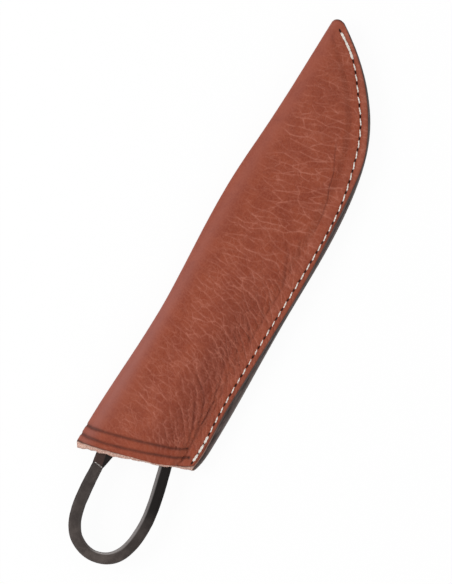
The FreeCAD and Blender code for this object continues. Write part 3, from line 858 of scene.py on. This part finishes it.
def leather_across(points):
    """Distance over the surface from the fold line, positive down the front leaf."""
    step = np.linalg.norm(np.diff(points[:, :, 1:], axis=1), axis=2)
    run = np.concatenate([np.zeros((len(points), 1)), np.cumsum(step, axis=1)], 1)
    return -points[:, :1, 1] - run


def mouth_to_tip(skin, skive):
    """x places of all rows and columns: rows start on the slanted mouth and end on the rounded tip."""
    x = np.full((1, COLUMNS), 8.0)
    for _ in range(6):
        y = leather_surface(x, skin)[:, :, 1]
        ragged = 0.15 * noise(y / 2.3, y * 0, 91, 2) + skive * 0.60 * noise(y / 2.1, y * 0, 93, 3)
        x = grain_mouth(-y) - skive * mouth_skive(-y) + ragged
    tip = np.full((1, COLUMNS), SHEATH_LENGTH)
    for _ in range(6):
        from_middle = leather_surface(tip, skin)[:, :, 1] + 2.8
        tip = SHEATH_LENGTH - 0.25 - np.where(from_middle > 0, 0.075, 0.03) * from_middle ** 2
    return x + (tip - x) * np.linspace(0, 1, ROWS)[:, None]


def build_sheath():
    outer = leather_surface(mouth_to_tip(0.0, 0.0), 0.0)
    across = leather_across(outer)
    along = outer[:, :, 0]
    height, values = relief(along, across, -outer[:, :, 1])
    from_edge = np.minimum(outer[:, :, 1] - outer[:, :1, 1], outer[:, :, 1] - outer[:, -1:, 1])
    flat_part = smooth((np.abs(across + 8) - 15) / 5)
    from_tip = along[-1:] - along
    height = height - 0.5 * line(from_edge, 1.0) * flat_part - 0.5 * line(from_tip, 0.8)
    worn_edge = np.maximum(0.55 * flat_part * line(from_edge, 0.5), 0.75 * line(from_tip, 0.7))
    values["dark"] = np.maximum(values["dark"], worn_edge)
    outer = outer - grid_normals(outer) * height[:, :, None]
    inner = leather_surface(mouth_to_tip(LEATHER, 1.0), LEATHER)

    def ragged(at):
        near_mouth = at[:, 0] < 0.36 * -at[:, 1] + 6
        return np.where(near_mouth, 0.30, 0.06)

    sheet_piece("sheath_leather", "sheath_body", outer, inner, (5, 0.32, ragged), values,
                np.stack([along, across], -1), True)


# ---- welt
LAYER_GAP = 0.03            # hair's breadth between the welt and the leaves


def build_welt():
    """Leather strip between the leaves; only its burnished outer edge and its two ends show."""
    rows = 420
    x = np.linspace(21.5, SHEATH_LENGTH - 0.9, rows)
    slope = seam_slope(x)
    trim = edge_trim(x)
    low_z = SLOT_Z + LAYER_GAP
    high_z = SLOT_Z + WELT_SLOT - LAYER_GAP
    loop = []
    for s in np.linspace(0, 1, 9):
        bulge = 0.3 * math.sin(math.pi * s) + 0.12 * noise(x / 3, x * 0 + s * 4, 111, 2)
        y = seam_y(x) + (0.03 + 0.45 * trim * (1 - s)) * slope - bulge
        loop.append(np.stack([x, y, np.full(rows, high_z + (low_z - high_z) * s)], 1))
    inner = np.minimum(seam_y(x) + FLANGE_WIDTH * slope * 0.96, fold_y(x) - 4.2)
    inner = np.maximum(inner, loop[0][:, 1] + 0.4)
    for z in (low_z, high_z):
        loop.append(np.stack([x, inner, np.full(rows, z)], 1))
    points, faces = tube(np.stack(loop, 1), True)
    mesh = new_mesh("welt_strip", points, faces)
    values = {"tan": np.zeros(len(points))}
    make_piece("welt_strip", mesh, [burnished], "sheath", "welt", values)


# ---- threads
CORD_SIDES = 8
TWIST_LENGTH = 3.7          # one whole turn of the two plies
PLY_OFFSET = 0.46           # of a ply's middle from the cord's, and the ply's radius, in cord radii
PLY_RADIUS = 0.60


def cord(centre, radius, crossing):
    """Two-ply cord along a line of 3-D points; the plies cross in plan at the given length along it."""
    ahead = unit(np.gradient(centre, axis=0))
    up = unit(np.array([0.0, 0.0, 1.0]) - ahead * ahead[:, 2:3])
    aside = np.cross(ahead, up)
    length = run_length(centre)
    turn = np.linspace(0, 2 * math.pi, CORD_SIDES, endpoint=False)
    ring = np.cos(turn)[None, :, None] * aside[:, None, :] + np.sin(turn)[None, :, None] * up[:, None, :]
    points, faces = [], []
    for ply in (0, 1):
        angle = math.pi / 2 + 2 * math.pi * ((length - crossing) / TWIST_LENGTH + ply / 2)
        round_axis = np.cos(angle)[:, None] * aside + np.sin(angle)[:, None] * up
        middle = centre + (radius * PLY_OFFSET)[:, None] * round_axis
        ply_points, ply_faces = tube(middle[:, None, :] + ring * (radius * PLY_RADIUS)[:, None, None], True)
        faces += [f + ply * len(ply_points) for f in ply_faces]
        points.append(ply_points)
    return np.concatenate(points), faces


def chance(number, kind):
    return float(hashed(np.array([number]), np.array([kind]), 7)[0])


def sewn_run(spots, surface, up, radius, slant, shift, dip, number):
    """Cord over the leather through a few holes: into the first and last, dipping at the ones between."""
    steps = 26 * (len(spots) - 1)
    share = np.linspace(0, len(spots) - 1, steps)
    leg = np.clip(share.astype(int), 0, len(spots) - 2)
    local = share - leg
    start, end = spots[leg], spots[leg + 1]
    reach = np.linalg.norm(end - start, axis=1)
    side = np.stack([-(end - start)[:, 1], (end - start)[:, 0]], 1) / reach[:, None]
    to_hole = np.minimum(local, 1 - local) * reach
    to_end = np.minimum(share, len(spots) - 1 - share) * reach
    apart = slant * (local - 0.5) + shift * (0.35 + 0.65 * smooth(to_hole / 1.6))
    flat = start + (end - start) * local[:, None] + side * apart[:, None]
    into = 1 - smooth(to_end / 2.25)
    lift = radius * 0.72 - dip * (1 - smooth(to_hole / 1.3)) - (1.5 + radius) * into
    width = radius * (1.12 - 0.20 * local) * (1 - 0.2 * into)
    z = surface(flat[:, 0], flat[:, 1]) + up * lift
    length = np.sum(reach) / steps
    points, faces = cord(np.column_stack([flat, z]), width, length * (0.5 + 0.06 * (chance(number, 4) - 0.5)))
    # Painted shade on the thread where it sinks into the holes.
    sunk_shade = np.clip(smooth((into - 0.25) / 0.4) + min(dip, 1.0) * (1 - smooth((to_hole - 0.25) / 0.6)), 0, 1)
    return points, faces, np.tile(np.repeat(sunk_shade, CORD_SIDES), 2)


def thread_piece(name, runs, material, node):
    points, faces, sunk_shade = [], [], []
    total = 0
    for run_points, run_faces, run_sunk_shade in runs:
        points.append(run_points)
        faces += [f + total for f in run_faces]
        sunk_shade.append(run_sunk_shade)
        total += len(run_points)
    mesh = new_mesh(name, np.concatenate(points), faces)
    make_piece(name, mesh, [material], "sheath", node, {"sunk_shade": np.concatenate(sunk_shade)})


def seam_runs(surface, up):
    """All stitches of one face of the seam, doubled at both ends."""
    runs = []
    for i in range(DOUBLED, STITCHES - DOUBLED):
        radius = 0.37 + 0.04 * chance(i, 1)
        slant = up * (0.85 + 0.3 * (chance(i, 2) - 0.5))
        runs.append(sewn_run(stitch_holes[i:i + 2], surface, up, radius, slant, 0.0, 0.0, i))
    for shift in (-0.26, 0.26):
        start = stitch_holes[:DOUBLED + 1]
        end = stitch_holes[-DOUBLED - 1:]
        runs.append(sewn_run(start, surface, up, 0.44, 0.2 * shift, shift, 1.45, 90))
        runs.append(sewn_run(end, surface, up, 0.42, 0.0, 1.1 * shift, 0.12, 91))
    return runs


def front_face(x, y):
    return BACK_Z + front_height(x, y) - 0.03


def back_face(x, y):
    return np.full(np.shape(x), BACK_Z + 0.10)


# ---- belt strap
STRAP_TAB = 13.0
STRAP_RAMP = 8.0
STRAP_CORNER = 4.0
strap_centre = ((strap_low + strap_high) / 2 - ORIGIN)[:2]
STRAP_LENGTH = strap_high[0] - strap_low[0]
STRAP_WIDTH = strap_high[1] - strap_low[1]
BELT_GAP = BACK_Z - LEATHER
STRAP_HOLE_INSET = 3.0
STRAP_ROW_STITCHES = 4
STRAP_ROWS = 261
STRAP_COLUMNS = 91


def strap_drop(x):
    """How far the strap stands away from the back leaf at x along it, from its centre."""
    flat_end = STRAP_LENGTH / 2 - STRAP_TAB
    return BELT_GAP * smooth((flat_end - np.abs(x)) / STRAP_RAMP)


def strap_tab_holes(side):
    half = STRAP_WIDTH / 2 - STRAP_HOLE_INSET
    outer_x = side * (STRAP_LENGTH / 2 - STRAP_HOLE_INSET)
    inner_x = side * (STRAP_LENGTH / 2 - STRAP_TAB + STRAP_HOLE_INSET)
    steps = np.arange(STRAP_ROW_STITCHES + 1) / STRAP_ROW_STITCHES
    across = [(outer_x, -half + 2 * half * s) for s in steps]
    back = [(inner_x, half - 2 * half * s) for s in steps]
    return np.array(across + back)


strap_holes = [strap_tab_holes(-1), strap_tab_holes(1)]


def build_strap():
    """Belt strap: grain side out, flesh side to the sheath, rounded and burnished edges."""
    x = np.linspace(-STRAP_LENGTH / 2, STRAP_LENGTH / 2, STRAP_ROWS)[:, None]
    into = np.clip(STRAP_CORNER - (STRAP_LENGTH / 2 - np.abs(x)), 0, STRAP_CORNER)
    half = STRAP_WIDTH / 2 - (STRAP_CORNER - np.sqrt(np.maximum(STRAP_CORNER ** 2 - into ** 2, 0)))
    y = half * np.linspace(1, -1, STRAP_COLUMNS)[None, :]
    x = x + 0 * y
    from_side = half - np.abs(y)
    from_end = STRAP_LENGTH / 2 - np.abs(x)
    rounding = line(np.minimum(from_side, from_end), 0.7)
    groove = line(from_side - 2.2, 0.35) * smooth((from_end - 14) / 3)
    long_d, long_k, _ = crease_lines(x + 300, y, 3.6, 5.0, 61, 0.9, 0.3)
    fine_d, fine_k, _ = crease_lines(x + 300, y, 1.5, 1.8, 65, 0.4, 0.3)
    bent = line(np.abs(x) - (STRAP_LENGTH / 2 - STRAP_TAB - 1), 2.2)
    height = -0.10 * long_k * line(long_d, 0.4) - 0.04 * fine_k * line(fine_d, 0.3) - 0.25 * groove
    height += 0.08 * bent * noise(x / 1.2, y / 9, 131, 2) - 0.6 * rounding
    hole_shade = np.zeros(x.shape)
    for holes in strap_holes:
        for hx, hy in holes:
            d = np.hypot(x - hx, y - hy)
            height -= 0.7 * line(d, 0.8)
            # Painted shade in the stitch holes.
            hole_shade = np.maximum(hole_shade, smooth((1.15 - d) / 0.5))
        d, _ = distance_to_line(x, y, [tuple(p) for p in holes])
        height -= 0.14 * line(d, 1.3)
    z_inner = BACK_Z - strap_drop(x) - 0.02
    z_outer = np.maximum(z_inner - LEATHER - height, 0.0)
    shift = np.array([strap_centre[0], strap_centre[1], 0])
    outer = np.stack([x, y, z_outer], -1) + shift
    inner = np.stack([x, y * 0.995, z_inner - 0.35 * rounding], -1) + shift
    bent_pale = 0.5 * bent * np.clip(noise(x / 0.8, y / 7, 133, 2), 0, 1)
    values = {"pale": np.clip(0.5 * long_k * line(long_d, 0.3) + bent_pale, 0, 1),
              "dark": np.clip(0.6 * groove + 0.5 * rounding, 0, 1), "hole_shade": hole_shade, "grain": 1 + 0 * x,
              "shade": 0.3 + 0 * x, "sheen": 0 * x}

    def ragged(at):
        return np.full(len(at), 0.03)

    sheet_piece("belt_strap_leather", "belt_strap", outer, inner, (4, 0.25, ragged), values,
                np.stack([x + 400, y], -1), False)


def strap_runs(up, face_z):
    def surface(x, y):
        return np.full(np.shape(x), face_z)

    runs = []
    for holes in strap_holes:
        holes = holes + strap_centre
        for i in range(len(holes) - 1):
            runs.append(sewn_run(holes[i:i + 2], surface, up, 0.42, 0.3, 0.0, 0.0, 300 + i))
    return runs


# ---- knife
BAR_WIDTH = 7.0
BAR_CHAMFER = 1.15
BAR_THICK = knife_high[2] - knife_low[2]
BLADE_THICK = 3.6
TIP_THICK = 1.2
EDGE_LAND = 0.4
SPINE_Y = -5.2
SPINE_CHAMFER = 0.3
BEVEL_START = 0.42          # share of the blade's width from the spine
HEEL_X = 75.0
BLADE_TIP_X = 252.0


def bar_profile(width, thick, chamfer, samples=6):
    """Closed outline of a forged bar, (across, up), with chamfered corners."""
    w, h, c = width / 2, thick / 2, chamfer
    corners = [(w, h - c), (w - c, h), (c - w, h), (-w, h - c),
               (-w, c - h), (c - w, -h), (w - c, -h), (w, c - h)]
    return between(corners, [samples] * len(corners))


def build_handle():
    """Bar bent round in a loop, from the root of the tang back to the heel of the blade."""
    count = 620
    spots, ahead, length = path_through(HANDLE_PATH, count)
    side = np.stack([-ahead[:, 1], ahead[:, 0]], 1)
    share = np.linspace(0, 1, count)
    thick = BAR_THICK + (BLADE_THICK - 0.4 - BAR_THICK) * smooth((share - 0.55) / 0.45)
    wide = BAR_WIDTH + 0.35 - 1.0 * line(share - 0.29, 0.08) - 0.6 * line(share, 0.06)
    grid = []
    for i in range(count):
        a, up = bar_profile(wide[i], thick[i], BAR_CHAMFER)
        grid.append(np.column_stack([spots[i] + side[i] * a[:, None], KNIFE_Z + up]))
    grid = np.array(grid)
    columns = grid.shape[1]
    around = np.arange(columns)[None, :] / columns * 20
    s = (share * length)[:, None]
    outward = unit(grid - np.column_stack([spots, np.full(count, KNIFE_Z)])[:, None, :])
    bumps = 0.16 * noise(s / 9, around / 5, 201, 2) + 0.06 * noise(s / 2.4, around / 1.5, 203, 2)
    return grid + outward * (bumps - 0.10)[:, :, None]


def blade_rows(spine, shoulder, edge, thick, land, chamfer):
    """Points across one station of tang or blade, from the spine over the upper face to the edge and back."""
    half = thick / 2
    outline = [(spine, half - chamfer), (spine - chamfer, half), (shoulder, half), (edge, land / 2),
               (edge, -land / 2), (shoulder, -half), (spine - chamfer, -half), (spine, chamfer - half)]
    return between(outline, [3, 16, 26, 3, 26, 16, 3, 6])


def build_blade():
    """Tang and blade: the tang widens from the bar, then a straight back, a bevel and a curved edge."""
    root_y = HANDLE_PATH[0][1]
    half = BAR_WIDTH / 2
    thin = BAR_THICK - 0.5
    heel = HEEL_X - 0.2
    # Stations of the tang: x, spine, shoulder, edge, thickness, thickness at the edge, chamfer.
    stations = [(-4, root_y + half, root_y - half + 1.2, root_y - half, thin, thin - 2.4, 1.2),
                (4, -10.9, -16.2, -20.6, thin, 1.8, 1.0),
                (26, -8.0, -16.6, -24.0, BLADE_THICK + 0.5, 1.5, 0.7),
                (50, -5.8, -18.0, -29.0, BLADE_THICK + 0.2, 1.4, 0.5),
                (heel, SPINE_Y, -20.0, -33.5, BLADE_THICK, 1.4, 0.4)]
    columns = np.array(stations).T
    x_tang = np.linspace(-4, heel, 200)
    tang = [np.interp(x_tang, columns[0], c) for c in columns[1:]]
    share = np.linspace(0, 1, 380)
    x_blade = HEEL_X + (BLADE_TIP_X - HEEL_X) * share
    edge = cubic(BLADE_EDGE)(x_blade)
    spine = SPINE_Y - 0.9 * smooth((share - 0.75) / 0.25)
    thick = BLADE_THICK + (TIP_THICK - BLADE_THICK) * share ** 1.6
    level = np.ones(len(share))
    shoulder = spine + (edge - spine) * BEVEL_START
    blade = [spine, shoulder, edge, thick, EDGE_LAND * level, SPINE_CHAMFER * level]
    x = np.concatenate([x_tang, x_blade])
    parts = [np.concatenate([a, b]) for a, b in zip(tang, blade)]
    grid = []
    for i in range(len(x)):
        y, z = blade_rows(*[p[i] for p in parts])
        grid.append(np.column_stack([np.full(len(y), x[i]), y, KNIFE_Z + z]))
    grid = np.array(grid)
    face = np.abs(grid[:, :, 2] - KNIFE_Z) / (parts[3] / 2)[:, None]
    dents = 0.10 * noise(grid[:, :, 0] / 10, grid[:, :, 1] / 10, 211, 3) * smooth((face - 0.35) / 0.5)
    upper = np.sign(grid[:, :, 2] - KNIFE_Z)
    grid[:, :, 2] -= upper * (0.08 + dents) * smooth((face - 0.2) / 0.6)
    grid[:, :, 1] += 0.08 * noise(grid[:, :, 0] / 7, upper, 213, 2)
    return grid, parts, x


def beside_bar(points):
    """How far round the bar each point lies (0 to 1), and how far inside the loop from the bar's middle."""
    count, batch = 300, 5000
    spots, ahead, _ = path_through(HANDLE_PATH, count)
    share, inside = np.zeros(len(points)), np.zeros(len(points))
    for first in range(0, len(points), batch):
        some = slice(first, first + batch)
        nearest = np.argmin(np.linalg.norm(points[some, None, :2] - spots[None], axis=2), axis=1)
        away = points[some, :2] - spots[nearest]
        share[some] = nearest / (count - 1)
        inside[some] = ahead[nearest, 0] * away[:, 1] - ahead[nearest, 1] * away[:, 0]
    return share, inside


def knife_values(co, x, parts):
    """Per-point values for the iron: ground and honed blade, a painted highlight on the loop's inner chamfer,
    scale, and painted shade towards the mouth and on the step's facet.
    """
    px, py = co[:, 0], co[:, 1]
    above = co[:, 2] - KNIFE_Z
    edge_y = np.interp(px, x, parts[2])
    shoulder_y = np.interp(px, x, parts[1])
    bar_share, inside = beside_bar(co)

    on_blade = smooth((px - HEEL_X + 1) / 2)
    honed = on_blade * smooth((3.2 + 0.5 * noise(px / 6, py * 0, 221, 2) - py + edge_y) / 0.8)
    ground = on_blade * smooth(shoulder_y - py + 0.6 * noise(px / 8, py * 0, 223, 2))
    bright = np.clip(0.32 * ground * (0.6 + 0.4 * noise(px / 12, py / 5, 225, 3)) + 0.9 * honed, 0, 1)

    on_bar = (px < -3.5) | (py < -30) & (px < 44)
    on_bar = on_bar * (1 - smooth((px - 18) / 26))
    # Painted highlight: a pale strip on the upper inner chamfer of the loop, stronger on some stretches.
    strip = smooth((inside - BAR_WIDTH / 2 + 1.35) / 0.35) * smooth((above - 0.2) / 0.6) * on_bar
    fade = 0.08 + 0.50 * smooth((bar_share - 0.27) / 0.04) + 0.30 * line(bar_share - 0.33, 0.05)
    chamfer_highlight = np.clip(strip * fade * (0.8 + 0.2 * noise(px / 5, py / 5, 229, 2)), 0, 1)

    on_tang = smooth((px - STEP[0]) / 0.6) * (1 - smooth((px - 40) / 30)) * (py > -25)
    facet = on_tang * smooth((0.22 * (px - STEP[0]) - 17.9 - py) / 0.5)
    # Painted shade: darker along the loop towards the mouth, over the tang and on the step's facet.
    iron_shade = 0.40 * smooth((bar_share - 0.36) / 0.08) + 0.45 * smooth((bar_share - 0.47) / 0.08)
    iron_shade = on_bar * (1.15 * iron_shade + 0.36 * line(bar_share - 0.08, 0.14)) + 0.58 * on_tang + 0.30 * facet
    nicked = smooth((above - 1.0) / 0.4) * (py > -18.3) * (py < -13.6) * (np.abs(px - STEP[0]) < 3)
    return {"bright": bright, "chamfer_highlight": chamfer_highlight, "brown": on_tang * (1 - facet), "iron_shade": np.clip(iron_shade, 0, 1),
            "nicked": nicked}


def build_knife():
    """The bar's loop and the blade welded into one forging."""
    blade, parts, x = build_blade()
    pieces = []
    for grid in (build_handle(), blade):
        piece = bpy.data.objects.new("forge_stage", new_mesh("forge_stage", *tube(grid, False)))
        bpy.context.scene.collection.objects.link(piece)
        pieces.append(piece)
    weld = pieces[1].modifiers.new("weld", "BOOLEAN")
    weld.operation = "UNION"
    weld.object = pieces[0]
    weld.solver = "EXACT"
    graph = bpy.context.evaluated_depsgraph_get()
    mesh = bpy.data.meshes.new_from_object(pieces[1].evaluated_get(graph))
    for piece in pieces:
        old = piece.data
        bpy.data.objects.remove(piece)
        bpy.data.meshes.remove(old)
    co = np.zeros(len(mesh.vertices) * 3)
    mesh.vertices.foreach_get("co", co)
    mesh.name = "knife_forging"
    mesh.materials.clear()
    mesh.polygons.foreach_set("use_smooth", np.ones(len(mesh.polygons), bool))
    values = knife_values(co.reshape(-1, 3) / MM - ORIGIN, x, parts)
    make_piece("knife_forging", mesh, [iron], "knife", "knife", values)


build_sheath()
build_welt()
thread_piece("seam_stitches_front", seam_runs(front_face, 1), seam_thread, "seam_thread_front")
thread_piece("seam_stitches_back", seam_runs(back_face, -1), seam_thread, "seam_thread_back")
build_strap()
for name, runs in (("outer", strap_runs(-1, BACK_Z - LEATHER)), ("inner", strap_runs(1, SLOT_Z))):
    thread_piece("strap_stitches_" + name, runs, strap_thread, "strap_thread_" + name)
build_knife()


# ---- floor, light and camera
IMAGE_HEIGHT = 584
SCALE = 0.56 * MM                           # metres on the object for each pixel of the image
VIEW_TURN = math.radians(58.7)              # angle from the image's right to the sheath's direction
VIEW_CENTRE = (115.9, -26.7)                # the point of the sheath, in mm, in the middle of the image
CAMERA_DISTANCE = 1.25
FLOOR = 3.0                                 # half the floor's side


def build_floor():
    """Pale floor: almost as white as the light to the camera, and lit normally for everything else."""
    n = Nodes("floor")
    colour = n.mix(n.noise(n.space(0.01), 1.0), (0.93, 0.93, 0.93, 1), (0.96, 0.96, 0.96, 1))
    n.finish(colour, 0.9, None, 0.1)
    seen = n.node("LightPath").outputs["Is Camera Ray"]
    glow = n.node("Emission", {"Color": (1, 1, 1, 1), "Strength": 1.01}).outputs[0]
    lit = n.node("MixShader", {0: n.times(seen, 0.93), 1: n.shader.outputs[0], 2: glow}).outputs[0]
    n.tree.links.new(lit, n.tree.nodes["Material Output"].inputs["Surface"])
    mesh = bpy.data.meshes.new("floor")
    corners = [(-FLOOR, -FLOOR, 0), (FLOOR, -FLOOR, 0), (FLOOR, FLOOR, 0), (-FLOOR, FLOOR, 0)]
    mesh.from_pydata(corners, [], [(0, 1, 2, 3)])
    mesh.materials.append(n.material)
    floor = bpy.data.objects.new("floor", mesh)
    floor.location.z = -0.0002
    bpy.context.scene.collection.objects.link(floor)


def build_light():
    """Even white surroundings, and one soft key light from above the sheath's fold."""
    world = bpy.data.worlds.new("studio")
    bpy.context.scene.world = world
    world.use_nodes = True
    background = world.node_tree.nodes["Background"]
    background.inputs["Color"].default_value = (1, 1, 1, 1)
    background.inputs["Strength"].default_value = 0.66
    middle = Vector(place([VIEW_CENTRE[0], VIEW_CENTRE[1], 10]))
    data = bpy.data.lights.new("key", "AREA")
    data.shape = "DISK"
    data.size = 0.8
    data.energy = 6.0
    lamp = bpy.data.objects.new("key", data)
    lamp.location = (middle.x - 0.35, middle.y + 0.85, 1.0)
    lamp.rotation_euler = (middle - lamp.location).to_track_quat("-Z", "Y").to_euler()
    bpy.context.scene.collection.objects.link(lamp)


def build_camera():
    """Straight above the front leaf, turned so that the sheath points up to the right."""
    data = bpy.data.cameras.new("camera")
    data.sensor_width = 36.0
    data.lens = data.sensor_width * CAMERA_DISTANCE / (IMAGE_HEIGHT * SCALE)
    data.clip_end = 20
    camera = bpy.data.objects.new("camera", data)
    bpy.context.scene.collection.objects.link(camera)
    camera.location = place([VIEW_CENTRE[0], VIEW_CENTRE[1], BACK_Z + POUCH_HEIGHT * 0.7])
    camera.location.z += CAMERA_DISTANCE
    camera.rotation_euler = (0, 0, -VIEW_TURN)
    bpy.context.scene.camera = camera


build_floor()
build_light()
build_camera()
bpy.context.scene.view_settings.view_transform = "Standard"
bpy.context.scene.view_settings.look = "None"
